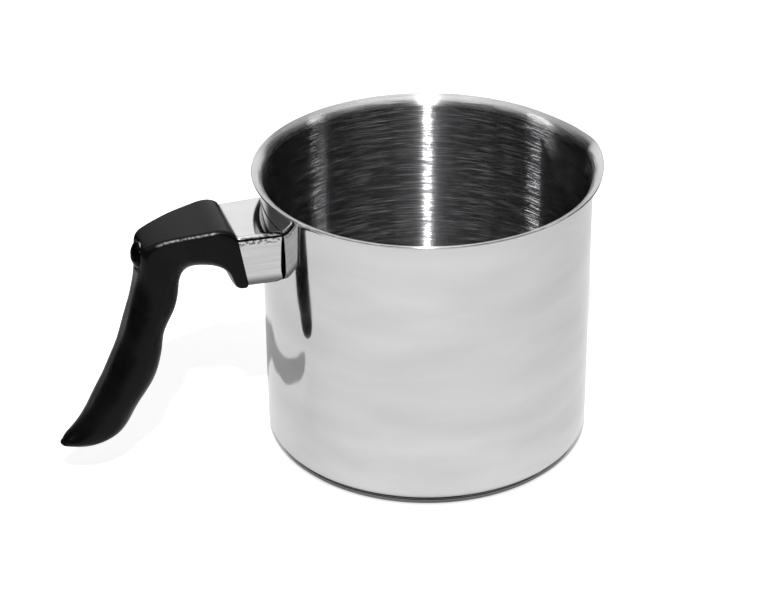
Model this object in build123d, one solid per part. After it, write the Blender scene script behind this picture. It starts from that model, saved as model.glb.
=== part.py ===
from build123d import *
from math import cos, degrees, radians, sin, sqrt
import os

# A 14 cm stainless steel milk pan with a pouring spout, a sandwich base and a phenolic handle.
# Millimetres, +Z up. The origin is the centre of the face that the pan rests on, the spout
# points along +X, the handle along -X, and the XZ plane divides the pan into equal halves.

# Vessel
pan_diameter = 140.0
pan_height = 125.8
sheet_thickness = 0.8
bottom_radius = 4.5
flare_radius = 3.4
flare_angle = 70.0
lip_width = 1.4

# Spout, a shallow pressed channel that widens upwards like a parabola
spout_depth = 2.6
spout_length = 31.5
spout_half_width = 31.0
spout_nose_radius = 2.4
spout_lean_share = 0.6
spout_flank_curve_share = 0.3
spout_foot_margin = 8.0
spout_station_shares = (1.0, 0.86, 0.7, 0.54, 0.38, 0.22, 0.1, 0.0)
spout_wall_steps = 4
join_tolerance = 0.01

# Sandwich base
core_thickness = 2.5
cap_thickness = 0.5
cap_inset = 3.0
cap_edge_radius = 1.0
cap_lip_radius = 0.9
cap_seam_gap = 0.8

# Neck, the polished steel sleeve between wall and handle
neck_width = 35.6
neck_height = 23.0
neck_below_rim = 12.1
neck_length = 16.8
neck_slant = 4.1
neck_taper_share = 0.045
neck_edge_radius = 1.6
neck_thickness = 0.7
neck_wall_gap = 0.1

# Strap that is welded to the wall inside the neck
strap_thickness = 1.5
strap_height = 14.0
strap_width = 17.0
strap_reach = 9.5
strap_flange_span = 27.0
strap_bend_radius = 2.5

# Long screw, its nut and washer
screw_diameter = 5.0
screw_length = 50.5
screw_rise = 1.6
screw_hole_clearance = 0.3
screw_head_diameter = 12.2
screw_head_height = 3.6
screw_head_rim = 0.7
screw_slot_width = 1.2
screw_slot_depth = 1.5
screw_end_chamfer = 0.6
nut_width = 8.0
nut_height = 4.0
thread_clearance = 0.05
washer_diameter = 11.0
washer_thickness = 1.0
recess_clearance = 0.35

# Handle
handle_proud = 0.9
handle_rise = 3.6
horn_drop = 2.6
shoulder_edge_radius = 3.0
grip_reach = 76.4
grip_drop = 99.0
grip_width = 20.8
ridge_radius = 1.5
grip_edge_radius = 9.4
edge_limit_share = 0.92
horn_belly = 3.2
grip_belly = 9.0
tenon_clearance = 0.25

# Ribs of the handle from the neck to the tip. Each gives its back point and its finger-side
# point, as shares of the grip's reach and drop, and then three shares that say how far its
# width lies from grip to neck, its edge radius from ridge to grip, and its belly from horn to grip.
rib_shares = (
    (0.040, 0.008, 0.004, 0.294, 0.86, 0.10, 0.10),
    (0.095, 0.000, 0.030, 0.246, 0.74, 0.03, 0.40),
    (0.155, 0.000, 0.078, 0.210, 0.62, 0.01, 0.62),
    (0.220, 0.004, 0.146, 0.197, 0.48, 0.01, 0.75),
    (0.300, 0.014, 0.205, 0.196, 0.32, 0.02, 0.80),
    (0.380, 0.036, 0.240, 0.207, 0.16, 0.06, 0.85),
    (0.440, 0.052, 0.262, 0.223, 0.06, 0.12, 0.90),
    (0.487, 0.074, 0.274, 0.240, 0.01, 0.22, 0.95),
    (0.507, 0.120, 0.285, 0.266, 0.00, 0.42, 1.00),
    (0.516, 0.185, 0.292, 0.305, 0.00, 0.64, 1.00),
    (0.529, 0.245, 0.302, 0.350, 0.01, 0.80, 1.00),
    (0.548, 0.305, 0.322, 0.398, 0.04, 0.90, 1.00),
    (0.576, 0.382, 0.362, 0.458, 0.06, 0.95, 1.00),
    (0.600, 0.442, 0.388, 0.508, 0.07, 1.00, 1.00),
    (0.626, 0.502, 0.402, 0.570, 0.09, 1.00, 1.00),
    (0.660, 0.567, 0.422, 0.640, 0.11, 1.00, 1.00),
    (0.704, 0.641, 0.460, 0.715, 0.12, 1.00, 1.00),
    (0.750, 0.715, 0.516, 0.780, 0.12, 1.00, 1.00),
    (0.800, 0.785, 0.565, 0.836, 0.10, 1.00, 1.00),
    (0.850, 0.850, 0.606, 0.892, 0.05, 1.00, 0.95),
    (0.903, 0.905, 0.657, 0.942, -0.06, 1.00, 0.85),
    (0.950, 0.942, 0.727, 0.974, -0.24, 0.90, 0.65),
    (0.981, 0.963, 0.800, 0.991, -0.48, 0.70, 0.35),
    (0.997, 0.977, 0.868, 1.000, -0.78, 0.40, 0.00),
    (1.000, 0.989, 0.928, 1.003, -1.08, 0.10, -0.30),
    (0.988, 0.999, 0.960, 1.003, -1.26, -0.05, -0.50),
)

overrun = 5.0

# Places that follow from the sizes above
pan_radius = pan_diameter / 2
inner_radius = pan_radius - sheet_thickness
floor_underside = cap_thickness + core_thickness
flare_rise = (flare_radius + sheet_thickness) * sin(radians(flare_angle))
flare_rise += lip_width * cos(radians(flare_angle))
flare_start = pan_height - flare_rise
spout_bottom = flare_start - spout_length
spout_foot = spout_bottom - spout_foot_margin
spout_half_angle = degrees(spout_half_width / pan_radius)
cap_radius = pan_radius - cap_inset

neck_top = pan_height - neck_below_rim
neck_bottom = neck_top - neck_height
shoulder_top_out = pan_radius + neck_length
shoulder_bottom_out = shoulder_top_out - neck_slant
screw_height = (neck_top + neck_bottom) / 2 + screw_rise
strap_face = pan_radius + strap_reach
strap_back = strap_face - strap_thickness
handle_top = neck_top + handle_rise
screw_head_seat = strap_back - nut_height + screw_length + thread_clearance
washer_seat = screw_head_seat - washer_thickness


def spout_bulge(across, height):
    """How far the wall is pressed out, at a distance along the wall from the spout's centre line.

    The channel is a parabola in outline, deepest on its centre line, and its depth grows
    from nothing at the bottom to the full spout_depth where the rim flares.
    """
    rise_share = min((height - spout_bottom) / spout_length, 1.0)
    if rise_share <= 0:
        return 0.0
    reach = spout_half_width * sqrt(rise_share)
    side = sqrt(across**2 + spout_nose_radius**2) - spout_nose_radius
    flank_share = max(1 - side / reach, 0.0)
    centre_depth = spout_depth * rise_share * (1 + spout_lean_share * (1 - rise_share))
    return centre_depth * flank_share ** (1 + spout_flank_curve_share)


def wall_spline(radius, across, start, end):
    """The pressed stretch of the wall in one radial plane, from the crease up to the flare."""
    points = []
    for step in range(spout_wall_steps + 1):
        height = start + (end - start) * step / spout_wall_steps
        points.append((radius + spout_bulge(across, height), height))
    return Spline(*points)


def wall_face(angle, crease_share):
    """Section through the upper wall and rim in the radial plane at an angle from the spout."""
    across = radians(angle) * pan_radius
    push = spout_bulge(across, flare_start)
    crease = spout_bottom + spout_length * crease_share
    bend = radians(flare_angle)
    bend_x = pan_radius + flare_radius + push
    inner_bend = flare_radius + sheet_thickness
    along_x = lip_width * sin(bend)
    along_z = lip_width * cos(bend)
    outer_end = (bend_x - flare_radius * cos(bend), flare_start + flare_radius * sin(bend))
    inner_end = (bend_x - inner_bend * cos(bend), flare_start + inner_bend * sin(bend))
    outer_lip = (outer_end[0] + along_x, outer_end[1] + along_z)
    inner_lip = (inner_end[0] + along_x, inner_end[1] + along_z)
    half_bend = bend / 2
    outer_mid = (
        bend_x - flare_radius * cos(half_bend),
        flare_start + flare_radius * sin(half_bend),
    )
    inner_mid = (
        bend_x - inner_bend * cos(half_bend),
        flare_start + inner_bend * sin(half_bend),
    )
    outer = wall_spline(pan_radius, across, crease, flare_start)
    inner = wall_spline(inner_radius, across, crease, flare_start)
    outline = [
        Line((pan_radius, spout_foot), outer @ 0),
        outer,
        ThreePointArc(outer @ 1, outer_mid, outer_end),
        Line(outer_end, outer_lip),
        Line(outer_lip, inner_lip),
        Line(inner_lip, inner_end),
        ThreePointArc(inner_end, inner_mid, inner @ 1),
        inner,
        Line(inner @ 0, (inner_radius, spout_foot)),
        Line((inner_radius, spout_foot), (pan_radius, spout_foot)),
    ]
    radial = (cos(radians(angle)), sin(radians(angle)), 0)
    normal = (sin(radians(angle)), -cos(radians(angle)), 0)
    return Plane(origin=(0, 0, 0), x_dir=radial, z_dir=normal) * make_face(outline)


def lower_cup():
    """The pan's floor, its bottom bend and its wall up to the foot of the spout."""
    inner_bend = bottom_radius - sheet_thickness
    bend_centre = (pan_radius - bottom_radius, floor_underside + bottom_radius)
    floor_top = floor_underside + sheet_thickness
    outline = [
        Line((0, floor_underside), (bend_centre[0], floor_underside)),
        CenterArc(bend_centre, bottom_radius, start_angle=-90, arc_size=90),
        Line((pan_radius, bend_centre[1]), (pan_radius, spout_foot)),
        Line((pan_radius, spout_foot), (inner_radius, spout_foot)),
        Line((inner_radius, spout_foot), (inner_radius, bend_centre[1])),
        CenterArc(bend_centre, inner_bend, start_angle=0, arc_size=-90),
        Line((bend_centre[0], floor_top), (0, floor_top)),
        Line((0, floor_top), (0, floor_underside)),
    ]
    return revolve(Plane.XZ * make_face(outline), Axis.Z)


def make_pan_body():
    """One drawn shell: a plain wall for most of the turn and the pressed spout in the rest."""
    near_side = [-share for share in spout_station_shares[:-1]]
    shares = near_side + list(reversed(spout_station_shares))
    highest_crease_share = spout_station_shares[1]
    sections = [
        wall_face(share * spout_half_angle, min(share**2, highest_crease_share))
        for share in shares
    ]
    spout = loft(sections)
    plain_turn = 360 - 2 * spout_half_angle
    plain_wall = revolve(sections[-1], Axis.Z, plain_turn)
    return lower_cup().fuse(plain_wall, spout, tol=join_tolerance)


def make_base_core():
    """The aluminium disc between floor and cap, as wide as the flat of the pan's floor."""
    disc = Cylinder(
        pan_radius - bottom_radius, core_thickness, align=(Align.CENTER, Align.CENTER, Align.MIN)
    )
    return Pos(0, 0, cap_thickness) * disc


def make_base_cap():
    """The stainless cap under the disc, its edge drawn up and in, with a groove left above it."""
    bend_reach = cap_radius - (pan_radius - bottom_radius)
    drop = sqrt(bottom_radius**2 - bend_reach**2)
    height = floor_underside + bottom_radius - drop - cap_seam_gap
    edge_centre = (cap_radius - cap_edge_radius, cap_edge_radius)
    lip_centre = (cap_radius - cap_lip_radius, height - cap_lip_radius)
    rim_inside = cap_radius - cap_thickness
    outline = [
        Line((0, 0), (edge_centre[0], 0)),
        CenterArc(edge_centre, cap_edge_radius, start_angle=-90, arc_size=90),
        Line((cap_radius, edge_centre[1]), (cap_radius, lip_centre[1])),
        CenterArc(lip_centre, cap_lip_radius, start_angle=0, arc_size=90),
        Line((lip_centre[0], height), (rim_inside, edge_centre[1])),
        Line((rim_inside, edge_centre[1]), (edge_centre[0], cap_thickness)),
        Line((edge_centre[0], cap_thickness), (0, cap_thickness)),
        Line((0, cap_thickness), (0, 0)),
    ]
    return revolve(Plane.XZ * make_face(outline), Axis.Z)


def neck_section(out, inset):
    """The neck's rounded rectangle at a distance from the pan's axis, drawn in by an inset."""
    width = neck_width - 2 * neck_taper_share * (out - pan_radius) - 2 * inset
    height = neck_height - 2 * inset
    corner = max(neck_edge_radius - inset, neck_thickness / 2)
    plane = Plane(origin=(-out, 0, (neck_top + neck_bottom) / 2), x_dir=(0, 1, 0), z_dir=(-1, 0, 0))
    return plane * RectangleRounded(width, height, corner)


def shoulder_plane():
    """The slanting plane where the neck ends and the handle's shoulder starts."""
    return Plane(
        origin=(-shoulder_top_out, 0, neck_top),
        x_dir=(0, 1, 0),
        z_dir=(-neck_height, 0, -neck_slant),
    )


def neck_block(near, far, inset):
    """The neck's tapered form between two distances from the pan's axis, drawn in by an inset."""
    return loft([neck_section(near, inset), neck_section(far, inset)])


def make_neck():
    """The tapered sleeve, saddled to the round wall and cut on a slant where the handle meets it."""
    near = pan_radius - 2 * overrun
    far = shoulder_top_out + overrun
    sleeve = neck_block(near, far, 0) - neck_block(near - overrun, far + overrun, neck_thickness)
    saddle = Cylinder(pan_radius + neck_wall_gap, 2 * pan_height)
    return split(sleeve - saddle, shoulder_plane(), keep=Keep.BOTTOM)


def rib_face(back, finger, half_width, edge_radius, belly_depth):
    """One cross-section of the handle: flat back, round edges, plain sides, elliptical belly."""
    depth = (finger - back).length
    belly = min(belly_depth, depth / 2)
    corner = min(edge_radius, edge_limit_share * half_width, edge_limit_share * (depth - belly))
    side = half_width - corner
    outline = [
        Line((-side, 0), (side, 0)),
        CenterArc((side, corner), corner, start_angle=-90, arc_size=90),
        Line((half_width, corner), (half_width, depth - belly)),
        EllipticalCenterArc((0, depth - belly), half_width, belly, start_angle=0, arc_size=180),
        Line((-half_width, depth - belly), (-half_width, corner)),
        CenterArc((-side, corner), corner, start_angle=180, arc_size=90),
    ]
    across = Vector(0, 1, 0)
    inward = (finger - back).normalized()
    return Plane(origin=back, x_dir=across, z_dir=across.cross(inward)) * make_face(outline)


def handle_ribs():
    """All ribs of the handle, the first of them on the shoulder round the neck."""
    neck_half = neck_width / 2 - neck_taper_share * (shoulder_top_out - pan_radius)
    neck_half += handle_proud
    grip_half = grip_width / 2
    down = Vector(neck_slant, 0, -neck_height).normalized()
    top = Vector(-shoulder_top_out, 0, neck_top) - down * handle_proud
    bottom = Vector(-shoulder_bottom_out, 0, neck_bottom) + down * horn_drop
    ribs = [rib_face(top, bottom, neck_half, shoulder_edge_radius, horn_belly)]
    start = Vector(-shoulder_top_out, 0, handle_top)
    for back_out, back_down, finger_out, finger_down, width, edge, belly in rib_shares:
        back = start - Vector(grip_reach * back_out, 0, grip_drop * back_down)
        finger = start - Vector(grip_reach * finger_out, 0, grip_drop * finger_down)
        half_width = grip_half + (neck_half - grip_half) * width
        edge_radius = ridge_radius + (grip_edge_radius - ridge_radius) * edge
        belly_depth = horn_belly + (grip_belly - horn_belly) * belly
        ribs.append(rib_face(back, finger, half_width, edge_radius, belly_depth))
    return ribs


def screw_cylinder(radius, start, end):
    """A cylinder on the screw's axis between two distances from the pan's axis."""
    plane = Plane(origin=(-start, 0, screw_height), x_dir=(0, 1, 0), z_dir=(-1, 0, 0))
    return extrude(plane * Circle(radius), end - start)


def make_handle():
    """The moulded grip, its tenon inside the neck, the screw's bore and the recess for its head."""
    grip = loft(handle_ribs())
    inset = neck_thickness + tenon_clearance
    tenon = neck_block(strap_face, shoulder_top_out + overrun, inset)
    tenon = split(tenon, shoulder_plane(), keep=Keep.BOTTOM)
    bore = screw_cylinder(
        screw_diameter / 2 + screw_hole_clearance, strap_face - overrun, washer_seat + overrun
    )
    recess = screw_cylinder(
        screw_head_diameter / 2 + recess_clearance, washer_seat, washer_seat + 2 * overrun
    )
    return grip + tenon - bore - recess


def make_handle_bracket():
    """The strap: two flanges on the wall, two arms and an end plate with the screw's hole."""
    inner_bend = strap_bend_radius - strap_thickness
    centre_x = -strap_face / 2
    outer_block = Pos(centre_x, 0) * RectangleRounded(strap_face, strap_width, strap_bend_radius)
    inner_block = Pos(centre_x + strap_thickness, 0) * RectangleRounded(
        strap_face, strap_width - 2 * strap_thickness, inner_bend
    )
    flange_ring = Circle(pan_radius + strap_thickness) - Circle(pan_radius)
    flange_span = Pos(-pan_radius, 0) * Rectangle(pan_radius, strap_flange_span)
    flanges = (flange_ring & flange_span) - inner_block
    plan = outer_block - inner_block - Circle(pan_radius) + flanges
    base = Plane(origin=(0, 0, screw_height - strap_height / 2))
    strap = extrude(base * plan, strap_height)
    hole = screw_cylinder(
        screw_diameter / 2 + screw_hole_clearance, strap_back - overrun, strap_face + overrun
    )
    return strap - hole


def make_bracket_nut():
    """The hexagon nut that is welded behind the end plate."""
    plane = Plane(origin=(-strap_back, 0, screw_height), x_dir=(0, 1, 0), z_dir=(1, 0, 0))
    hexagon = RegularPolygon(nut_width / 2, 6, major_radius=False) - Circle(
        screw_diameter / 2 + thread_clearance
    )
    return extrude(plane * hexagon, nut_height)


def make_washer():
    """The plain washer under the screw's head."""
    ring = screw_cylinder(washer_diameter / 2, washer_seat, screw_head_seat)
    hole = screw_cylinder(
        screw_diameter / 2 + screw_hole_clearance, washer_seat - overrun, screw_head_seat + overrun
    )
    return ring - hole


def make_handle_screw():
    """The long screw with a domed, slotted head."""
    head_radius = screw_head_diameter / 2
    shank_radius = screw_diameter / 2
    dome_end = (0, screw_head_height)
    rim_end = (head_radius, screw_head_rim)
    sag = screw_head_height - screw_head_rim
    dome_radius = (head_radius**2 + sag**2) / (2 * sag)
    chamfer_start = (shank_radius, -screw_length + screw_end_chamfer)
    chamfer_end = (shank_radius - screw_end_chamfer, -screw_length)
    outline = [
        Line((0, -screw_length), (0, screw_head_height)),
        RadiusArc(dome_end, rim_end, dome_radius),
        Line(rim_end, (head_radius, 0)),
        Line((head_radius, 0), (shank_radius, 0)),
        Line((shank_radius, 0), chamfer_start),
        Line(chamfer_start, chamfer_end),
        Line(chamfer_end, (0, -screw_length)),
    ]
    turned = revolve(Plane.XZ * make_face(outline), Axis.Z)
    slot = Pos(0, 0, screw_head_height) * Box(
        screw_slot_width, screw_head_diameter + overrun, 2 * screw_slot_depth
    )
    axis = Plane(origin=(-screw_head_seat, 0, screw_height), x_dir=(0, 0, 1), z_dir=(-1, 0, 0))
    return axis * (turned - slot)


parts = {
    "pan_body": make_pan_body(),
    "base_core": make_base_core(),
    "base_cap": make_base_cap(),
    "ferrule": make_neck(),
    "handle_bracket": make_handle_bracket(),
    "bracket_nut": make_bracket_nut(),
    "handle": make_handle(),
    "screw_washer": make_washer(),
    "handle_screw": make_handle_screw(),
}

os.makedirs("parts", exist_ok=True)
for name, shape in parts.items():
    export_step(shape, f"parts/{name}.step")
    size = shape.bounding_box().size
    print(f"{name}: {shape.volume:.1f} mm3, {size.X:.2f} x {size.Y:.2f} x {size.Z:.2f} mm")
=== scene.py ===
from math import radians

import bpy
import numpy as np
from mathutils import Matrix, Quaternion, Vector


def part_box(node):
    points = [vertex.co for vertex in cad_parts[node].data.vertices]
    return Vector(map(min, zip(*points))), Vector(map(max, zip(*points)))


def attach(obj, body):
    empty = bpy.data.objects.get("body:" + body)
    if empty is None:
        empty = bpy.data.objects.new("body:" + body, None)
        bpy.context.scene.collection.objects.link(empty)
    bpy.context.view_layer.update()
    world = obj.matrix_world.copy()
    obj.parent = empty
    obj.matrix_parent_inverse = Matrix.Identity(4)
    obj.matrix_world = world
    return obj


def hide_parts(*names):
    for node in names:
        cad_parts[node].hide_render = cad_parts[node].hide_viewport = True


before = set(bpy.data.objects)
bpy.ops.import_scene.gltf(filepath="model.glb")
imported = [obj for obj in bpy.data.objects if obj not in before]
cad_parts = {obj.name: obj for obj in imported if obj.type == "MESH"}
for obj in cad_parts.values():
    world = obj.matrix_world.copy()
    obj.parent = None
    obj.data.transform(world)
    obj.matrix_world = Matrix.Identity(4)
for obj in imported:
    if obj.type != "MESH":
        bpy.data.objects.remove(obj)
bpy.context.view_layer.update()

# Pan body. One cup deep drawn from 0.8 mm stainless sheet. Its rim is flared outwards and trimmed,
# a shallow pouring spout is pressed into the wall opposite the handle, the outside is mirror
# polished, and the rim and the inside are brushed in rings.
mm = 0.001
wall_radius = 70.0 * mm
sheet = 0.8 * mm
floor_under = 3.0 * mm
bottom_bend = 4.5 * mm
flare_bend = 3.4 * mm
flare_turn = 70.0
lip_width = 1.4 * mm
spout_depth = 2.6 * mm
spout_length = 31.5 * mm
spout_half_width = 31.0 * mm
spout_nose = 2.4 * mm
spout_lean_share = 0.6
spout_flank_curve_share = 0.3
spout_foot_margin = 8.0 * mm
pole_ring = 2.0 * mm
noise_range = 0.3, 0.7
steel_blue = 0.005
polish_relief = 0.02 * mm
scratch_range = 0.34, 0.66
scratch_stretch = 80, 80, 6000

rim_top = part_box("pan_body")[1].z
flare_turn_radians = radians(flare_turn)
flare_rise = (flare_bend + sheet) * np.sin(flare_turn_radians) + lip_width * np.cos(flare_turn_radians)
flare_start = rim_top - flare_rise
spout_bottom = flare_start - spout_length


def arc(centre, radius, start, end, steps):
    """Points (out, up) on a circle round a centre: centre + radius * (cos, sin), degrees start to end."""
    turn = np.radians(np.linspace(start, end, steps + 1))
    return np.column_stack([centre[0] + radius * np.cos(turn), centre[1] + radius * np.sin(turn)])


def run(start, end, steps):
    """Points (out, up) evenly spaced on a straight line, both ends included."""
    return np.linspace(start, end, steps + 1)


def joined(*stretches):
    """One profile from stretches that each start where the last one ended."""
    return np.vstack([stretches[0]] + [stretch[1:] for stretch in stretches[1:]])


def turned(profile, angles):
    """A surface of revolution about Z: (out cos, out sin, up) for each profile point and angle."""
    out, up = profile[:, :1], profile[:, 1:]
    return np.stack([out * np.cos(angles), out * np.sin(angles), up + 0 * angles], axis=-1)


def skin(name, grid, poles=None, ring=False, bands=None):
    """A closed, smooth-shaded mesh over grid[row, column, xyz].

    Columns go round and meet. Rows meet too if it is a ring, and otherwise each end is closed by
    a fan to its pole. Bands gives each row of faces its material. The faces are turned outwards:
    the volume is the sum of a . (b x c) / 6 over the triangles, and it has to come out positive.
    """
    rows, columns = grid.shape[:2]
    corner = np.arange(rows * columns).reshape(rows, columns)
    here = corner if ring else corner[:-1]
    above = np.roll(corner, -1, axis=0) if ring else corner[1:]
    quads = np.stack([here, np.roll(here, -1, axis=1), np.roll(above, -1, axis=1), above], axis=-1)
    quads = quads.reshape(-1, 4)
    points = grid.reshape(-1, 3)
    fans = np.zeros((0, 3), int)
    if poles is not None:
        points = np.vstack([points, poles])
        first, last = np.full(columns, rows * columns), np.full(columns, rows * columns + 1)
        fans = np.vstack([
            np.stack([np.roll(corner[0], -1), corner[0], first], axis=-1),
            np.stack([corner[-1], np.roll(corner[-1], -1), last], axis=-1),
        ])
    triangles = np.vstack([quads[:, [0, 1, 2]], quads[:, [0, 2, 3]], fans])
    a, b, c = (points[triangles[:, side]] for side in range(3))
    if np.einsum("ij,ij->i", a, np.cross(b, c)).sum() < 0:
        quads, fans = quads[:, ::-1], fans[:, ::-1]
    mesh = bpy.data.meshes.new(name)
    mesh.from_pydata(points.tolist(), [], quads.tolist() + fans.tolist())
    mesh.polygons.foreach_set("use_smooth", np.ones(len(mesh.polygons), bool))
    if bands is not None:
        ends = [bands[0]] * columns + [bands[-1]] * columns if len(fans) else []
        mesh.polygons.foreach_set("material_index", np.concatenate([np.repeat(bands, columns), ends]))
    mesh.update()
    made = bpy.data.objects.new(name, mesh)
    bpy.context.scene.collection.objects.link(made)
    return made


def add(tree, kind, inputs=None, **settings):
    """Adds one shader node, sets its options, and fills its inputs from values or other outputs."""
    made = tree.nodes.new(kind)
    for option, value in settings.items():
        setattr(made, option, value)
    for socket, value in (inputs or {}).items():
        if isinstance(value, bpy.types.NodeSocket):
            tree.links.new(value, made.inputs[socket])
        else:
            made.inputs[socket].default_value = value
    return made


def maths(tree, operation, *values):
    """The result of one arithmetic node on values or other outputs."""
    return add(tree, "ShaderNodeMath", dict(enumerate(values)), operation=operation).outputs["Value"]


def vectors(tree, operation, *values, result="Vector"):
    """The result of one vector node on values or other outputs."""
    made = add(tree, "ShaderNodeVectorMath", dict(enumerate(values)), operation=operation)
    return made.outputs[result]


def placed(tree):
    """Where each point lies in the piece's own coordinates, in metres."""
    return add(tree, "ShaderNodeTexCoord").outputs["Object"]


def grain(tree, stretch, scale, detail=3.0, place=None):
    """Noise on the piece's own coordinates, squeezed by stretch: the larger a number, the finer there."""
    where = {"Vector": place or placed(tree), "Scale": stretch}
    shaped = add(tree, "ShaderNodeMapping", where).outputs["Vector"]
    noise = add(tree, "ShaderNodeTexNoise", {"Vector": shaped, "Scale": scale, "Detail": detail})
    return noise.outputs["Fac"]


def between(tree, value, low, high, source=noise_range):
    """A value brought from its source range to low..high, and held there beyond it."""
    limits = {"Value": value, "From Min": source[0], "From Max": source[1], "To Min": low, "To Max": high}
    return add(tree, "ShaderNodeMapRange", limits).outputs["Result"]


def grey(level, blue=0.0):
    """A neutral colour, or one that is a little bluer."""
    return (level, level, level + blue, 1)


def blend(tree, share, first, second):
    """A colour that goes from first to second as share goes from 0 to 1."""
    made = add(tree, "ShaderNodeMix", {"Factor": share, 6: first, 7: second}, data_type="RGBA")
    return made.outputs[2]


def tone(tree, value, dark, light, blue=steel_blue, source=noise_range):
    """A grey between two levels by a noise value."""
    return blend(tree, between(tree, value, 0.0, 1.0, source), grey(dark, blue), grey(light, blue))


def bumps(tree, height, strength, distance):
    """The normal of a fine relief that follows a noise value."""
    relief = {"Height": height, "Strength": strength, "Distance": distance}
    return add(tree, "ShaderNodeBump", relief).outputs["Normal"]


def new_material(name, constants):
    """A new material with a Principled shader whose constant sockets are set here."""
    made = bpy.data.materials.new(name)
    made.use_nodes = True
    shader = made.node_tree.nodes["Principled BSDF"]
    for socket, value in constants.items():
        shader.inputs[socket].default_value = value
    return made, made.node_tree, shader


def wire(tree, shader, **sockets):
    """Links outputs to the shader's sockets, named with an underscore for each space."""
    for socket, output in sockets.items():
        tree.links.new(output, shader.inputs[socket.replace("_", " ")])


def mirror_steel(name, dark, light, roughness):
    """Polished stainless steel: faint level clouds and round polishing lines in its gloss."""
    made, tree, shader = new_material(name, {"Metallic": 1.0})
    clouds = grain(tree, (0.4, 0.4, 1.5), 45)
    lines = grain(tree, (30, 30, 1400), 1.0, detail=2.0)
    wire(
        tree, shader,
        Base_Color=tone(tree, clouds, dark, light),
        Roughness=between(tree, clouds, *roughness),
        Normal=bumps(tree, lines, 0.05, polish_relief),
    )
    return made


def ring_brushed(name, dark, light, roughness, lean_limit):
    """Steel brushed in rings: its gloss spreads across the scratches and hardly along them.

    Long thin noise stands for the scratches. Its third coordinate is the distance from the axis plus
    the height, so it is fine up the wall and out over the floor. Each scratch leans the normal N
    across its run to normalise(N + lean * (N x along)), where along runs round the pan's axis and
    lean follows the noise between plus and minus lean_limit.
    """
    constants = {"Metallic": 1.0, "Anisotropic": 1.0, "Anisotropic Rotation": 0.25}
    made, tree, shader = new_material(name, constants)
    place = placed(tree)
    split = add(tree, "ShaderNodeSeparateXYZ", {"Vector": place}).outputs
    flat = add(tree, "ShaderNodeCombineXYZ", {"X": split["X"], "Y": split["Y"]}).outputs["Vector"]
    climb = maths(tree, "ADD", vectors(tree, "LENGTH", flat, result="Value"), split["Z"])
    ring = add(tree, "ShaderNodeCombineXYZ", {"X": split["X"], "Y": split["Y"], "Z": climb})
    scratch = grain(tree, scratch_stretch, 1.0, place=ring.outputs["Vector"])
    along = vectors(tree, "NORMALIZE", vectors(tree, "CROSS_PRODUCT", (0, 0, 1), place))
    plain = add(tree, "ShaderNodeNewGeometry").outputs["Normal"]
    across = vectors(tree, "CROSS_PRODUCT", plain, along)
    lean = between(tree, scratch, -lean_limit, lean_limit, scratch_range)
    leaning = vectors(tree, "MULTIPLY_ADD", across, lean, plain)
    wire(
        tree, shader,
        Base_Color=tone(tree, scratch, dark, light),
        Roughness=between(tree, scratch, *roughness),
        Normal=vectors(tree, "NORMALIZE", leaning),
        Tangent=along,
    )
    return made


def spout_bulge(across, up):
    """How far the wall is pressed out, at a distance round the wall from the spout's middle.

    The channel's outline is a parabola: its reach is half_width * sqrt(rise). Its depth is
    spout_depth * rise * (1 + lean * (1 - rise)) on the middle line, and falls towards the edge as
    (1 - side / reach) to a power, where side is the distance with its nose rounded off. The rise is
    kept just over 0, so that the reach never is 0.
    """
    rise = np.clip((up - spout_bottom) / spout_length, 1e-9, 1)
    reach = spout_half_width * np.sqrt(rise)
    side = np.sqrt(across**2 + spout_nose**2) - spout_nose
    flank = np.clip(1 - side / reach, 0, 1) ** (1 + spout_flank_curve_share)
    return spout_depth * rise * (1 + spout_lean_share * (1 - rise)) * flank


def pan_profile():
    """The sheet's closed outline (out, up), from the middle underneath to the middle inside."""
    inner = wall_radius - sheet
    inner_bend = bottom_bend - sheet
    bend_centre = (wall_radius - bottom_bend, floor_under + bottom_bend)
    flare_centre = (wall_radius + flare_bend, flare_start)
    along = np.array([np.sin(flare_turn_radians), np.cos(flare_turn_radians)])
    outer_flare = arc(flare_centre, flare_bend, 180, 180 - flare_turn, 12)
    inner_flare = arc(flare_centre, flare_bend + sheet, 180 - flare_turn, 180, 12)
    outer_lip = outer_flare[-1] + along * lip_width
    inner_lip = inner_flare[0] + along * lip_width
    nose = arc((outer_lip + inner_lip) / 2, sheet / 2, -flare_turn, 180 - flare_turn, 8)
    foot = spout_bottom - spout_foot_margin
    outside = [
        run((pole_ring, floor_under), (bend_centre[0], floor_under), 10),
        arc(bend_centre, bottom_bend, -90, 0, 12),
        run((wall_radius, bend_centre[1]), (wall_radius, foot), 8),
        run((wall_radius, foot), (wall_radius, flare_start), 44),
        outer_flare,
        run(outer_flare[-1], outer_lip, 3),
    ]
    rim = [nose, run(inner_lip, inner_flare[0], 3), inner_flare]
    inside = [
        run((inner, flare_start), (inner, foot), 44),
        run((inner, foot), (inner, bend_centre[1]), 8),
        arc(bend_centre, inner_bend, 0, -90, 12),
        run((bend_centre[0], floor_under + sheet), (pole_ring, floor_under + sheet), 10),
    ]
    lip_row = len(joined(*outside)) - 1
    wall_row = len(joined(*outside, *rim)) - 1
    return joined(*outside, *rim, *inside), (lip_row, wall_row)


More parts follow.
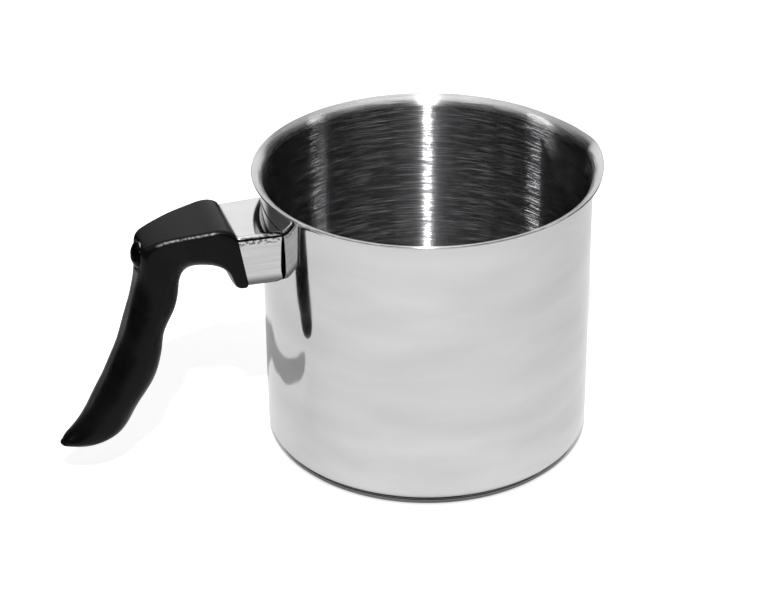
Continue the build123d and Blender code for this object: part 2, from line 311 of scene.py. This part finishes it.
spout_angle = spout_half_width / wall_radius
spout_columns = np.linspace(-spout_angle, spout_angle, 221)
plain_columns = np.linspace(spout_angle, 2 * np.pi - spout_angle, 151)[1:-1]
pan_angles = np.concatenate([spout_columns, plain_columns])
profile, finish_rows = pan_profile()
pan_across = (pan_angles + np.pi) % (2 * np.pi) - np.pi
pressed = spout_bulge(pan_across * wall_radius, np.minimum(profile[:, 1:], flare_start))
radial = np.stack([np.cos(pan_angles), np.sin(pan_angles), 0 * pan_angles], axis=-1)
pan_grid = turned(profile, pan_angles) + pressed[..., None] * radial
pan_poles = [(0, 0, floor_under), (0, 0, floor_under + sheet)]
row_finish = np.searchsorted(finish_rows, np.arange(len(profile) - 1), side="right")
pan = skin("pan_shell", pan_grid, pan_poles, bands=row_finish)
pan.data.materials.append(mirror_steel("polished_outside", 0.54, 0.62, roughness=(0.04, 0.09)))
pan.data.materials.append(ring_brushed("brushed_rim", 0.56, 0.64, roughness=(0.23, 0.29), lean_limit=0.3))
# The inside is the same steel as the outside, but its colour is painted far darker, as shade.
pan.data.materials.append(ring_brushed("brushed_inside_painted_shade", 0.24, 0.31, roughness=(0.17, 0.24), lean_limit=0.88))
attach(pan, "root")
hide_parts("pan_body")

# Sandwich base. An aluminium disc is brazed under the floor and closed in by a thin stainless cap.
# Its edge is drawn up and in to a round bead, and a narrow groove is left under the bottom bend.
cap_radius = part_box("base_cap")[1].x
cap_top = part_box("base_cap")[1].z
cap_sheet = 0.5 * mm
cap_edge = 1.0 * mm
cap_lip = 0.9 * mm


def cap_profile():
    """The cap's closed outline (out, up), from the middle of its underside to its middle inside."""
    bend_centre = (cap_radius - cap_edge, cap_edge)
    lip_centre = (cap_radius - cap_lip, cap_top - cap_lip)
    return joined(
        run((pole_ring, 0), (bend_centre[0], 0), 10),
        arc(bend_centre, cap_edge, -90, 0, 12),
        run((cap_radius, cap_edge), (cap_radius, lip_centre[1]), 3),
        arc(lip_centre, cap_lip, 0, 90, 12),
        run((lip_centre[0], cap_top), (lip_centre[0], cap_top - cap_sheet), 2),
        run((lip_centre[0], cap_top - cap_sheet), (cap_radius - cap_sheet, lip_centre[1]), 3),
        run((cap_radius - cap_sheet, lip_centre[1]), (cap_radius - cap_sheet, cap_edge), 2),
        arc(bend_centre, cap_edge - cap_sheet, 0, -90, 6),
        run((bend_centre[0], cap_sheet), (pole_ring, cap_sheet), 10),
    )


def rolled_aluminium(name):
    """Plain rolled aluminium with fine rolling lines, its grey painted dark as the shade of the groove where
    it shows.
    """
    made, tree, shader = new_material(name, {"Metallic": 1.0})
    lines = grain(tree, (60, 900, 60), 1.0)
    wire(
        tree, shader,
        Base_Color=tone(tree, lines, 0.12, 0.18),
        Roughness=between(tree, lines, 0.34, 0.5),
    )
    return made


cap = skin(
    "base_cap_shell",
    turned(cap_profile(), np.linspace(0, 2 * np.pi, 241)[:-1]),
    [(0, 0, 0), (0, 0, cap_sheet)],
)
# The cap is the same steel as the pan, but its colour is painted far darker, as shade along its narrow edge.
cap.data.materials.append(mirror_steel("polished_cap_painted_shade", 0.16, 0.22, roughness=(0.09, 0.14)))
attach(cap, "root")
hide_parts("base_cap")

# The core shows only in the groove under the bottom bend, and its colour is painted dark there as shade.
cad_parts["base_core"].data.materials.clear()
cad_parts["base_core"].data.materials.append(rolled_aluminium("rolled_aluminium"))

# Strap, nut and washer. The bent strap is spot welded to the wall inside the neck, the nut is welded
# behind its end plate, and the washer lies under the screw's head. All are plain pickled steel.


def pickled_steel(name):
    """Plain steel as it leaves the press and the weld: matt grey, a little uneven."""
    made, tree, shader = new_material(name, {"Metallic": 1.0})
    patches = grain(tree, (1, 1, 1), 300)
    wire(
        tree, shader,
        Base_Color=tone(tree, patches, 0.42, 0.55, blue=0.01),
        Roughness=between(tree, patches, 0.35, 0.55),
        Normal=bumps(tree, patches, 0.15, 0.05 * mm),
    )
    return made


plain_steel = pickled_steel("pickled_steel")
for hidden in ("handle_bracket", "bracket_nut", "screw_washer"):
    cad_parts[hidden].data.materials.clear()
    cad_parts[hidden].data.materials.append(plain_steel)

# Ferrule. A sleeve of thin stainless sheet, folded and welded to a rounded rectangle, a little
# narrower towards the handle. One end is saddled to the round wall, the other cut on a slant.
neck_width = 35.6 * mm
neck_corner = 1.9 * mm
neck_wall_corner = 3.2 * mm
neck_corner_run = 2.4 * mm
neck_relief = 0.9 * mm
neck_sheet = 0.7 * mm
neck_gap = 0.1 * mm
neck_taper_share = 0.045
neck_length = 16.8 * mm
neck_slant = 4.1 * mm
neck_break = 0.15 * mm
neck_crowding = 1.5
flank_insets = 1.9 * mm, 1.2 * mm
foot_rises = 2.2 * mm, 4.8 * mm
scuff_drops = 4.4 * mm, 3.2 * mm
neck_bottom, neck_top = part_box("ferrule")[0].z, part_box("ferrule")[1].z
neck_height = neck_top - neck_bottom
shoulder_out = wall_radius + neck_length


def smoothstep(value, low, high):
    """0 below low, 1 above high, and 3 t^2 - 2 t^3 between them."""
    t = np.clip((value - low) / (high - low), 0, 1)
    return t * t * (3 - 2 * t)


def neck_outline(inset, top_corner, bottom_corner):
    """The neck's section (side, up): four quarter arcs and four straight sides, closed."""
    half_width = neck_width / 2 - inset
    half_height = neck_height / 2 - inset
    top, bottom = top_corner - inset, bottom_corner - inset
    top_reach, top_rise = half_width - top, half_height - top
    low_reach, low_rise = half_width - bottom, bottom - half_height
    return joined(
        arc((top_reach, top_rise), top, 0, 90, 10),
        run((top_reach, half_height), (-top_reach, half_height), 40),
        arc((-top_reach, top_rise), top, 90, 180, 10),
        run((-half_width, top_rise), (-half_width, low_rise), 16),
        arc((-low_reach, low_rise), bottom, 180, 270, 10),
        run((-low_reach, -half_height), (low_reach, -half_height), 40),
        arc((low_reach, low_rise), bottom, 270, 360, 10),
        run((half_width, low_rise), (half_width, top_rise), 16),
    )[:-1]


def neck_rows(inset, back, steps):
    """Rows from the wall to the shoulder: the outline is swept out along -X between two cuts.

    Each point starts on the wall's cylinder, at sqrt(radius^2 - side^2), and ends on the slanting
    shoulder plane. The two flanks start a little further out, by neck_relief * (1 - h^4) * (1 - h / 2)
    with h from -1 at the bottom to 1 at the top. The lower corners are rounder at the wall and reach
    their plain radius within neck_corner_run. The side shrinks with the distance, by neck_taper_share.
    Rows crowd towards the wall, where the shape changes most.
    """
    middle = (neck_top + neck_bottom) / 2
    side, up = neck_outline(inset, neck_corner, neck_corner).T
    round_side, round_up = neck_outline(inset, neck_corner, neck_wall_corner).T
    flank = smoothstep(np.abs(side), neck_width / 2 - neck_wall_corner, neck_width / 2 - inset)
    h = 2 * up / neck_height
    relief = neck_relief * (1 - h**4) * (1 - h / 2) * flank
    start = np.sqrt((wall_radius + neck_gap + back) ** 2 - round_side**2) + relief
    end = shoulder_out - back - (neck_top - middle - up) * neck_slant / neck_height
    out = start + np.linspace(0, 1, steps)[:, None] ** neck_crowding * (end - start)
    plain = smoothstep(out - start, 0, neck_corner_run)
    side = round_side + plain * (side - round_side)
    up = round_up + plain * (up - round_up)
    scale = 1 - neck_taper_share * (out - wall_radius) / (neck_width / 2)
    return np.stack([-out, side * scale, middle + up], axis=-1)


def scuffed_ferrule(name):
    """Polished steel painted lighter on top and bottom and darker on the sides as shade. The sides carry fine
    lines, are darker still at their foot, and have dark specks under the top edge.
    """
    made, tree, shader = new_material(name, {"Metallic": 1.0})
    split = add(tree, "ShaderNodeSeparateXYZ", {"Vector": placed(tree)}).outputs
    side = maths(tree, "ABSOLUTE", split["Y"])
    flank = between(tree, side, 0.0, 1.0, [neck_width / 2 - inset for inset in flank_insets])
    foot = between(tree, split["Z"], 1.0, 0.0, [neck_bottom + rise for rise in foot_rises])
    under_edge = between(tree, split["Z"], 0.0, 1.0, [neck_top - drop for drop in scuff_drops])
    marks = between(tree, grain(tree, (0.7, 1, 1.4), 700), 0.0, 1.0, (0.5, 0.56))
    dull = maths(tree, "MAXIMUM", maths(tree, "MULTIPLY", marks, under_edge), foot)
    lines = grain(tree, (40, 40, 1600), 1.0)
    # Painted shade: the sides get a darker grey than the top and bottom. The fine lines on them are the
    # steel's own.
    top_and_bottom = tone(tree, grain(tree, (1, 1, 1), 60), 0.62, 0.68)
    clean = blend(tree, flank, top_and_bottom, tone(tree, lines, 0.46, 0.55))
    wire(
        tree, shader,
        Base_Color=blend(tree, maths(tree, "MULTIPLY", dull, flank), clean, grey(0.14, steel_blue)),
        Roughness=between(tree, lines, 0.05, 0.12),
        Normal=bumps(tree, lines, 0.05, polish_relief),
    )
    return made


ferrule_grid = np.concatenate([
    neck_rows(neck_break, 0, 2)[:1],
    neck_rows(0, neck_break, 24),
    neck_rows(neck_break, 0, 2)[1:],
    neck_rows(neck_sheet - neck_break, 0, 2)[1:],
    neck_rows(neck_sheet, neck_break, 24)[::-1],
    neck_rows(neck_sheet - neck_break, 0, 2)[:1],
])
ferrule = skin("ferrule_sleeve", ferrule_grid, ring=True)
ferrule.data.materials.append(scuffed_ferrule("polished_ferrule"))
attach(ferrule, "root")
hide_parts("ferrule")

# Handle. A solid phenolic moulding with a flat back, waves for three fingers and a horn that guards
# them from the wall. The screw's head lies in a round recess at the top of its back.
handle_proud = 0.9 * mm
handle_rise = 3.6 * mm
horn_drop = 2.6 * mm
shoulder_edge_radius = 3.0 * mm
grip_reach = 76.4 * mm
grip_drop = 99.0 * mm
grip_width = 20.8 * mm
ridge_radius = 1.5 * mm
grip_edge_radius = 9.4 * mm
edge_limit_share = 0.92
horn_belly = 3.2 * mm
grip_belly = 9.0 * mm
shoulder_round = 1.0 * mm
tip_dome = 0.35 * mm

# Ribs from the neck to the tip. Each gives its back point and its finger-side point, as shares of
# the grip's reach and drop, and then three shares that say how far its width lies from grip to
# neck, its edge radius from ridge to grip, and its belly from horn to grip.
rib_shares = np.array([
    (0.040, 0.008, 0.004, 0.294, 0.86, 0.10, 0.10),
    (0.095, 0.000, 0.030, 0.246, 0.74, 0.03, 0.40),
    (0.155, 0.005, 0.078, 0.210, 0.64, 0.01, 0.62),
    (0.220, 0.012, 0.146, 0.197, 0.50, 0.01, 0.75),
    (0.300, 0.022, 0.205, 0.196, 0.32, 0.02, 0.80),
    (0.380, 0.036, 0.240, 0.207, 0.10, 0.04, 0.85),
    (0.440, 0.052, 0.262, 0.223, 0.01, 0.08, 0.90),
    (0.487, 0.074, 0.274, 0.240, 0.00, 0.20, 0.95),
    (0.507, 0.120, 0.285, 0.266, 0.00, 0.42, 1.00),
    (0.516, 0.185, 0.292, 0.305, 0.00, 0.64, 1.00),
    (0.529, 0.245, 0.302, 0.350, 0.01, 0.80, 1.00),
    (0.548, 0.305, 0.322, 0.398, 0.04, 0.90, 1.00),
    (0.576, 0.382, 0.362, 0.458, 0.06, 0.95, 1.00),
    (0.600, 0.442, 0.388, 0.508, 0.07, 1.00, 1.00),
    (0.626, 0.502, 0.402, 0.570, 0.09, 1.00, 1.00),
    (0.660, 0.567, 0.422, 0.640, 0.11, 1.00, 1.00),
    (0.704, 0.641, 0.460, 0.715, 0.12, 1.00, 1.00),
    (0.750, 0.715, 0.516, 0.780, 0.12, 1.00, 1.00),
    (0.800, 0.785, 0.565, 0.836, 0.10, 1.00, 1.00),
    (0.850, 0.850, 0.606, 0.892, 0.05, 1.00, 0.95),
    (0.903, 0.905, 0.657, 0.942, -0.06, 1.00, 0.85),
    (0.950, 0.942, 0.727, 0.974, -0.24, 0.90, 0.65),
    (0.981, 0.963, 0.800, 0.991, -0.48, 0.70, 0.35),
    (0.997, 0.977, 0.868, 1.000, -0.78, 0.40, 0.00),
    (1.000, 0.989, 0.928, 1.003, -1.08, 0.10, -0.30),
    (0.988, 0.999, 0.960, 1.003, -1.26, -0.05, -0.50),
])

screw_rise = 1.6 * mm
screw_height = (neck_top + neck_bottom) / 2 + screw_rise
washer_seat = -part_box("screw_washer")[1].x
recess_radius = 6.3 * mm
recess_round = 0.3 * mm
recess_search = 2.0 * mm
recess_ribs = 6, 12
back_steps = 40
edge_steps = 10
side_steps = 8
belly_steps = 44
# Where the painted highlight lies along the handle's two ridges.
wear_turn = 45.0
wear_spread = 22.0
wear_ribs = 2, 7
wear_fade = 2.5 * mm


def spline(knots, values, at):
    """The natural cubic spline through values at knots: its second slopes come from one matrix solve."""
    gap = np.diff(knots)[:, None]
    slope = np.diff(values, axis=0) / gap
    count = len(knots)
    system = np.eye(count)
    middle = np.arange(1, count - 1)
    system[middle, middle - 1] = gap[:-1, 0]
    system[middle, middle] = 2 * (gap[:-1, 0] + gap[1:, 0])
    system[middle, middle + 1] = gap[1:, 0]
    bend = np.zeros_like(values)
    bend[1:-1] = 3 * np.diff(slope, axis=0)
    bend = np.linalg.solve(system, bend)
    start = slope - gap * (2 * bend[:-1] + bend[1:]) / 3
    cubic = np.diff(bend, axis=0) / (3 * gap)
    piece = np.clip(np.searchsorted(knots, at, side="right") - 1, 0, count - 2)
    step = (at - knots[piece])[:, None]
    return values[piece] + step * (start[piece] + step * (bend[piece] + step * cubic[piece]))


def rib_outline(half_width, corner, belly, depth):
    """Points (side, inward) of every rib, all rows at once.

    Each rib is a flat back, round edges, plain sides and a half-ellipse belly, and is closed.
    """
    side = half_width - corner
    chest = depth - belly
    spread = np.linspace(-1, 1, back_steps + 1)[:-1]
    quarter = np.radians(np.linspace(0, 90, edge_steps + 1))[:-1]
    climb = np.linspace(0, 1, side_steps + 1)[:-1]
    half = np.radians(np.linspace(0, 180, belly_steps + 1))[:-1]
    flat = 0 * half_width
    return (
        np.hstack([
            side * spread,
            side + corner * np.sin(quarter),
            half_width + flat * climb,
            half_width * np.cos(half),
            -half_width + flat * climb,
            -side - corner * np.cos(quarter),
        ]),
        np.hstack([
            flat * spread,
            corner - corner * np.cos(quarter),
            corner + (chest - corner) * climb,
            chest + belly * np.sin(half),
            chest + (corner - chest) * climb,
            corner - corner * np.sin(quarter),
        ]),
    )


def handle_ribs():
    """Back x, back z, finger x, finger z, half width, edge radius and belly of every rib, in metres."""
    neck_half = neck_width / 2 - neck_taper_share * (shoulder_out - wall_radius) + handle_proud
    grip_half = grip_width / 2
    down = np.array([neck_slant, -neck_height]) / np.hypot(neck_slant, neck_height)
    top = np.array([-shoulder_out, neck_top]) - down * handle_proud
    bottom = np.array([neck_slant - shoulder_out, neck_bottom]) + down * horn_drop
    first = [*top, *bottom, neck_half, shoulder_edge_radius, horn_belly]
    start = np.array([-shoulder_out, neck_top + handle_rise])
    reach = np.array([-grip_reach, -grip_drop])
    rest = np.column_stack([
        start + reach * rib_shares[:, 0:2],
        start + reach * rib_shares[:, 2:4],
        grip_half + (neck_half - grip_half) * rib_shares[:, 4],
        ridge_radius + (grip_edge_radius - ridge_radius) * rib_shares[:, 5],
        horn_belly + (grip_belly - horn_belly) * rib_shares[:, 6],
    ])
    return np.vstack([first, rest])


def ridge_wear(at, knots):
    """Share of a painted highlight at each grid point, from 0 to 1, along the two ridges at the top of the
    handle.

    Across a ridge it is a tent over the middle of its arc. Along it, it runs between two given ribs, counted
    from the shoulder, and fades out at both ends.
    """
    quarter = np.linspace(0, 90, edge_steps + 1)[:-1]
    tent = np.clip(1 - np.abs(quarter - wear_turn) / wear_spread, 0, 1)
    finger_side = np.zeros(2 * side_steps + belly_steps)
    columns = np.concatenate([np.zeros(back_steps), tent, finger_side, tent[::-1]])
    start, end = knots[wear_ribs[0]], knots[wear_ribs[1]]
    rows = smoothstep(at, start, start + wear_fade) * (1 - smoothstep(at, end - wear_fade, end))
    return rows[:, None] * columns


def handle_grid():
    """Rows of rib outlines along the spline through the ribs, and the share of the painted ridge highlight at
    each of their points.

    Rows are closest at the shoulder, whose edge they round off, and between the recess_ribs, where
    points of the back that lie within recess_radius of the screw's axis are pressed in to the
    washer's seat.
    """
    ribs = handle_ribs()
    middles = (ribs[:, 0:2] + ribs[:, 2:4]) / 2
    knots = np.concatenate([[0], np.cumsum(np.hypot(*np.diff(middles, axis=0).T))])
    edge_rows = shoulder_round * np.array([0, 0.04, 0.12, 0.25, 0.45, 0.7, 1])
    recess_knots = knots[recess_ribs[0]], knots[recess_ribs[1]]
    at = np.concatenate([
        edge_rows,
        np.linspace(shoulder_round, recess_knots[0], 90)[1:],
        np.linspace(*recess_knots, 150)[1:],
        np.linspace(recess_knots[1], knots[-1], 230)[1:],
    ])
    row = spline(knots, ribs, at)
    back, finger = row[:, 0:2], row[:, 2:4]
    depth = np.hypot(*(finger - back).T)[:, None]
    inward = (finger - back) / depth
    near = np.clip(shoulder_round - at, 0, shoulder_round)[:, None]
    inset = shoulder_round - np.sqrt(shoulder_round**2 - near**2)
    half_width = row[:, 4:5]
    belly = np.minimum(row[:, 6:7], depth / 2)
    corner = np.minimum(row[:, 5:6], edge_limit_share * np.minimum(half_width, depth - belly))
    side, deep = rib_outline(half_width - inset, corner, belly, depth - 2 * inset)
    deep = deep + inset
    x = back[:, :1] + inward[:, :1] * deep
    z = back[:, 1:] + inward[:, 1:] * deep
    from_axis = np.hypot(side, z - screw_height)
    on_back = x < recess_search - washer_seat
    pressed_in = on_back * (1 - smoothstep(from_axis, recess_radius, recess_radius + recess_round))
    x = x + (-washer_seat - x) * pressed_in
    return np.stack([x, side, z], axis=-1), ridge_wear(at, knots)


def phenolic(name):
    """Black moulded phenolic: satin with a fine orange-peel, and grey specks along the ridges from a mesh
    attribute as a painted highlight.
    """
    made, tree, shader = new_material(name, {"IOR": 1.5, "Specular IOR Level": 0.1})
    peel = grain(tree, (1, 1, 1), 1400, detail=2.0)
    patches = grain(tree, (1, 1, 1), 70)
    specks = between(tree, grain(tree, (1, 1, 1), 900), 0.15, 1.0, (0.4, 0.6))
    # Specks of grey along the ridges, where the mesh's attribute says: a painted highlight.
    rubbed = add(tree, "ShaderNodeAttribute", attribute_name="wear").outputs["Fac"]
    black = tone(tree, patches, 0.002, 0.004, blue=0)
    wire(
        tree, shader,
        Base_Color=blend(tree, maths(tree, "MULTIPLY", rubbed, specks), black, grey(0.4)),
        Roughness=between(tree, patches, 0.24, 0.34),
        Normal=bumps(tree, peel, 0.12, 0.05 * mm),
    )
    return made


grid, wear_shares = handle_grid()
grip_poles = [grid[0].mean(axis=0), grid[-1].mean(axis=0) - [0, 0, tip_dome]]
handle = skin("handle_grip", grid, grip_poles)
# Each point of the handle carries its share of the painted ridge highlight.
wear = handle.data.attributes.new("wear", "FLOAT", "POINT")
wear.data.foreach_set("value", np.concatenate([wear_shares.ravel(), [0, 0]]))
handle.data.materials.append(phenolic("black_phenolic"))
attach(handle, "root")
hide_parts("handle")

# Handle screw. A long steel screw with a domed, slotted head, blackened all over. It draws the
# handle and the ferrule up against the strap.
head_radius = 6.1 * mm
head_height = 3.6 * mm
head_rim = 0.7 * mm
slot_width = 1.2 * mm
slot_depth = 1.5 * mm
slot_edge = 0.12 * mm
shank_radius = 2.5 * mm
end_chamfer = 0.6 * mm
end_ring = 0.3 * mm
washer_sheet = 1.0 * mm
head_seat = washer_seat + washer_sheet
screw_end = -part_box("handle_screw")[1].x


def screw_profile():
    """The screw's outline (out, height over the head's seat), from the top of its dome to its end."""
    sag = head_height - head_rim
    dome_radius = (head_radius**2 + sag**2) / (2 * sag)
    dome_centre = head_height - dome_radius
    dome_edge = np.degrees(np.arcsin((head_rim - dome_centre) / dome_radius))
    length = head_seat - screw_end
    return joined(
        arc((0, dome_centre), dome_radius, 89, dome_edge, 60),
        run((head_radius, head_rim), (head_radius, 0), 4),
        run((head_radius, 0), (shank_radius, 0), 6),
        run((shank_radius, 0), (shank_radius, end_chamfer - length), 6),
        run((shank_radius, end_chamfer - length), (shank_radius - end_chamfer, -length), 2),
        run((shank_radius - end_chamfer, -length), (end_ring, -length), 2),
    )


def blackened_steel(name):
    """Steel with a black oxide skin: dark, glossy, worn a little brighter in fine specks."""
    made, tree, shader = new_material(name, {"IOR": 1.5, "Specular IOR Level": 0.04})
    specks = grain(tree, (1, 1, 1), 900)
    wire(
        tree, shader,
        Base_Color=tone(tree, specks, 0.001, 0.012, blue=0, source=(0.6, 0.8)),
        Roughness=between(tree, specks, 0.16, 0.28),
        Normal=bumps(tree, specks, 0.1, 0.03 * mm),
    )
    return made


swept = turned(screw_profile(), np.linspace(0, 2 * np.pi, 241)[:-1])
screw_up, screw_side, screw_out = swept[..., 0], swept[..., 1], swept[..., 2]
slot_floor = head_height - slot_depth
in_slot = 1 - smoothstep(np.abs(screw_up), slot_width / 2 - slot_edge, slot_width / 2 + slot_edge)
screw_out = screw_out - np.clip(screw_out - slot_floor, 0, None) * in_slot
screw_grid = np.stack([-head_seat - screw_out, screw_side, screw_height + screw_up], axis=-1)
screw_poles = [(-head_seat - slot_floor, 0, screw_height), (-screw_end, 0, screw_height)]
screw = skin("handle_screw_black", screw_grid, screw_poles)
screw.data.materials.append(blackened_steel("blackened_steel"))
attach(screw, "root")
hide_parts("handle_screw")

# Studio. The pan stands on white paper. A wide soft light hangs overhead, a small bright one is behind
# the camera and two strips stand at the sides. The room is dark but for the wall and roof behind the pan.
camera_turn = radians(-16.8)
camera_fall = radians(29.217)
camera_distance = 1.04591
camera_roll = radians(-0.617)
camera_aim = Vector((-0.01995, 0.00602, 0.06123))
focal_pixels = 2413.55
image_width = 757
sensor_width = 36.0

view = Vector((
    -np.sin(camera_turn) * np.cos(camera_fall),
    np.cos(camera_turn) * np.cos(camera_fall),
    -np.sin(camera_fall),
))
camera_data = bpy.data.cameras.new("camera")
camera_data.sensor_width = sensor_width
camera_data.lens = sensor_width * focal_pixels / image_width
camera = bpy.data.objects.new("camera", camera_data)
camera.location = camera_aim - view * camera_distance
camera.rotation_mode = "QUATERNION"
camera.rotation_quaternion = view.to_track_quat("-Z", "Y") @ Quaternion((0, 0, 1), camera_roll)
bpy.context.scene.collection.objects.link(camera)
bpy.context.scene.camera = camera
bpy.context.scene.view_settings.view_transform = "Standard"

paper_size = 1.1
paper_seen = 0.75
paper_mirrored = 0.22
contact_radii = 64 * mm, 72 * mm
mirror_radii = 300 * mm, 350 * mm


def white_paper(name):
    """White paper. Part of its white is its own to the camera and in reflections, so shadows stay pale.

    That part fades out and the paper's colour darkens towards the ring where the pan stands, by the distance
    from the pan's axis: a painted contact shadow.
    Reflections see the paper only out to mirror_radii, because the room beyond it is dark.
    """
    constants = {"Specular IOR Level": 0.1, "Emission Color": grey(1.0)}
    made, tree, shader = new_material(name, constants)
    path = add(tree, "ShaderNodeLightPath").outputs
    seen = maths(tree, "MULTIPLY", path["Is Camera Ray"], paper_seen)
    glow = maths(tree, "MULTIPLY_ADD", path["Is Glossy Ray"], paper_mirrored, seen)
    reach = vectors(tree, "LENGTH", placed(tree), result="Value")
    # Painted contact shadow: near the ring where the pan stands, the paper's colour and its own glow are
    # turned down.
    clear = between(tree, reach, 0.0, 1.0, contact_radii)
    beyond = between(tree, reach, 0.0, 1.0, mirror_radii)
    unseen = maths(tree, "MULTIPLY", beyond, path["Is Glossy Ray"])
    white = tone(tree, clear, 0.5, 0.75, blue=0, source=(0, 1))
    own = maths(tree, "MULTIPLY", clear, maths(tree, "SUBTRACT", 1.0, unseen))
    wire(
        tree, shader,
        Base_Color=blend(tree, unseen, white, grey(0.02)),
        Roughness=between(tree, grain(tree, (1, 1, 1), 400), 0.85, 0.95),
        Emission_Strength=maths(tree, "MULTIPLY", glow, own),
    )
    return made


paper_mesh = bpy.data.meshes.new("paper")
paper_corners = np.array([(-1, -1, 0), (1, -1, 0), (1, 1, 0), (-1, 1, 0)]) * paper_size / 2
paper_mesh.from_pydata(paper_corners.tolist(), [], [(0, 1, 2, 3)])
paper = bpy.data.objects.new("paper", paper_mesh)
paper.data.materials.append(white_paper("white_paper"))
bpy.context.scene.collection.objects.link(paper)

camera_azimuth = camera_turn - np.pi / 2


def softbox(name, azimuth, elevation, distance, size, power):
    """A rectangular soft light, placed by degrees from the camera's own azimuth and aimed at the rim."""
    turn, rise = camera_azimuth + radians(azimuth), radians(elevation)
    aim = Vector((0, 0, rim_top))
    towards = Vector((np.cos(turn) * np.cos(rise), np.sin(turn) * np.cos(rise), np.sin(rise)))
    lamp = bpy.data.lights.new(name, "AREA")
    lamp.shape = "RECTANGLE"
    lamp.size, lamp.size_y = size
    lamp.energy = power
    made = bpy.data.objects.new(name, lamp)
    made.location = aim + towards * distance
    made.rotation_mode = "QUATERNION"
    made.rotation_quaternion = (-towards).to_track_quat("-Z", "Y")
    bpy.context.scene.collection.objects.link(made)


softbox("overhead_light", azimuth=180, elevation=80, distance=1.5, size=(1.2, 1.2), power=2.2)
softbox("key_light", azimuth=-2, elevation=48, distance=1.7, size=(0.06, 0.06), power=29)
softbox("left_strip", azimuth=-91.7, elevation=35, distance=1.5, size=(0.1, 0.5), power=1.5)
softbox("right_strip", azimuth=92, elevation=35, distance=1.5, size=(0.1, 0.5), power=1.0)

room_diffuse = 0.15
room_mirrored = 1.15
room_dark = 0.006
wall_away, wall_height = (0.68, 0.85), (0.0, 0.15)
roof_away, roof_height = (0.1, 0.3), (0.75, 0.87)
ceiling_height = 0.3, 1.15

world = bpy.data.worlds.new("room")
world.use_nodes = True
room = world.node_tree
background = room.nodes["Background"]


def fade(value, start, full):
    """0 where the value is below start, 1 above full, with a soft edge between."""
    limits = {"Value": value, "From Min": start, "From Max": full}
    return add(room, "ShaderNodeMapRange", limits, interpolation_type="SMOOTHSTEP").outputs["Result"]


# Each direction is known by its height, the sine of its elevation, and by away, how squarely it
# points away from the camera. Reflections see a wall and a roof behind the pan and a dim ceiling.
facing = add(room, "ShaderNodeTexCoord").outputs["Generated"]
height = add(room, "ShaderNodeSeparateXYZ", {"Vector": facing}).outputs["Z"]
rear = Vector((-np.cos(camera_azimuth), -np.sin(camera_azimuth), 0))
away = vectors(room, "DOT_PRODUCT", facing, rear, result="Value")
rear_wall = maths(room, "MULTIPLY", fade(away, *wall_away), fade(height, *wall_height))
rear_roof = maths(room, "MULTIPLY", fade(away, *roof_away), fade(height, *roof_height))
ceiling = maths(room, "MAXIMUM", rear_roof, fade(height, *ceiling_height))
bright = maths(room, "MAXIMUM", rear_wall, ceiling)
mirrored = maths(room, "MULTIPLY_ADD", bright, room_mirrored, room_dark)
rays = add(room, "ShaderNodeLightPath").outputs
dim = add(room, "ShaderNodeMix", {"Factor": rays["Is Glossy Ray"], "A": room_diffuse, "B": mirrored})
shown = add(room, "ShaderNodeMix", {"Factor": rays["Is Camera Ray"], "A": dim.outputs["Result"], "B": 1.0})
room.links.new(shown.outputs["Result"], background.inputs["Strength"])
background.inputs["Color"].default_value = grey(1.0)
bpy.context.scene.world = world
